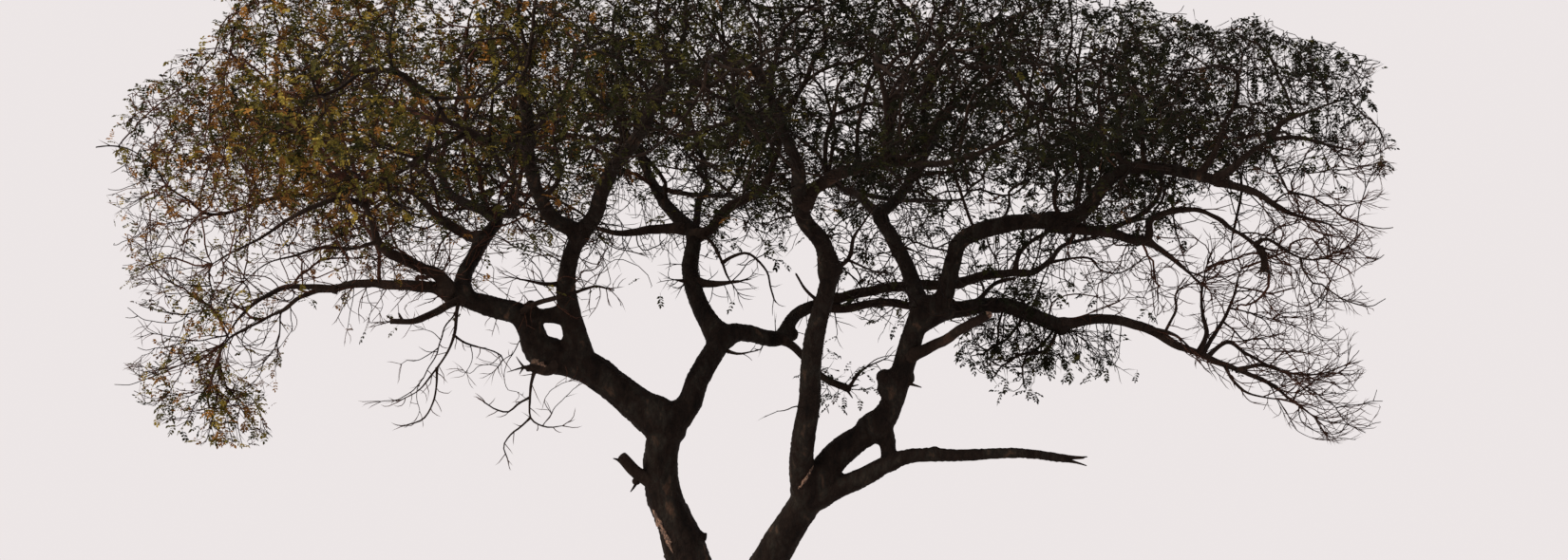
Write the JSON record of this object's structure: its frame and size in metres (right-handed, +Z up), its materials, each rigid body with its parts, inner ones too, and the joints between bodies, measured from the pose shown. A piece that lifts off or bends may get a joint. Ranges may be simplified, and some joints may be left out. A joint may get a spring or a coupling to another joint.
{
  "type": "marula tree",
  "caption": "Broad flat-topped marula tree: short trunk forking low into leaning stems, crooked boughs and a wide crown of separate leafy masses, part bare at one side.",
  "frame": {"origin": "middle of the flat cut under the trunk, at ground level", "axes": "+Z up the trunk, +X to the right of the front view, the front faces -Y"},
  "size_m": [15.3215, 13.1983, 10.1462],
  "materials": {
    "bark": "rough dark grey-brown bark, paler and redder along edges and scars",
    "leaves": "dull dark green leaflets, yellow-brown to orange-brown on the left of the crown",
    "twigs": "bare grey-brown twigs"
  },
  "bodies": {
    "root": {"trunk": "bark", "left_stem": "bark", "right_stem": "bark", "right_stem_upper": "bark", "left_bough": "bark", "left_bough_knee": "bark", "left_long_limb": "bark", "left_inner_bough": "bark", "left_inner_fork_right": "bark", "left_back_bough": "bark", "left_back_limb": "bark", "left_front_bough": "bark", "middle_bough": "bark", "middle_rise": "bark", "middle_rise_right": "bark", "middle_arm": "bark", "middle_arm_outer": "bark", "right_front_bough": "bark", "right_front_neck": "bark", "right_front_right_limb": "bark", "right_back_bough": "bark", "right_back_left_limb": "bark", "right_main_bough": "bark", "right_main_high": "bark", "right_main_low": "bark", "right_low_bough": "bark", "right_low_outer": "bark", "right_low_spur": "bark", "dead_arm": "bark", "front_left_reach": "bark", "front_reach": "bark", "front_right_reach": "bark", "back_left_reach": "bark", "back_reach": "bark", "back_right_reach": "bark", "mass_top_centre": "leaves", "mass_inner_right": "leaves", "mass_inner_back_right": "leaves", "mass_inner_back_left": "leaves", "mass_inner_left": "leaves", "mass_inner_front_left": "leaves", "mass_inner_front_right": "leaves", "mass_outer_right": "leaves", "mass_outer_right_back": "leaves", "mass_outer_back_right": "leaves", "mass_outer_back": "leaves", "mass_outer_back_left": "leaves", "mass_outer_left_back": "leaves", "mass_outer_left": "leaves", "mass_outer_left_front": "leaves", "mass_outer_front_left": "leaves", "mass_outer_front": "leaves", "mass_outer_front_right": "leaves", "mass_outer_right_front": "leaves", "mass_left_skirt": "leaves", "mass_left_skirt_tip": "leaves", "mass_left_under": "leaves", "mass_right_skirt": "twigs", "mass_right_skirt_low": "twigs", "mass_right_hanging": "leaves"}
  },
  "joints": []
}
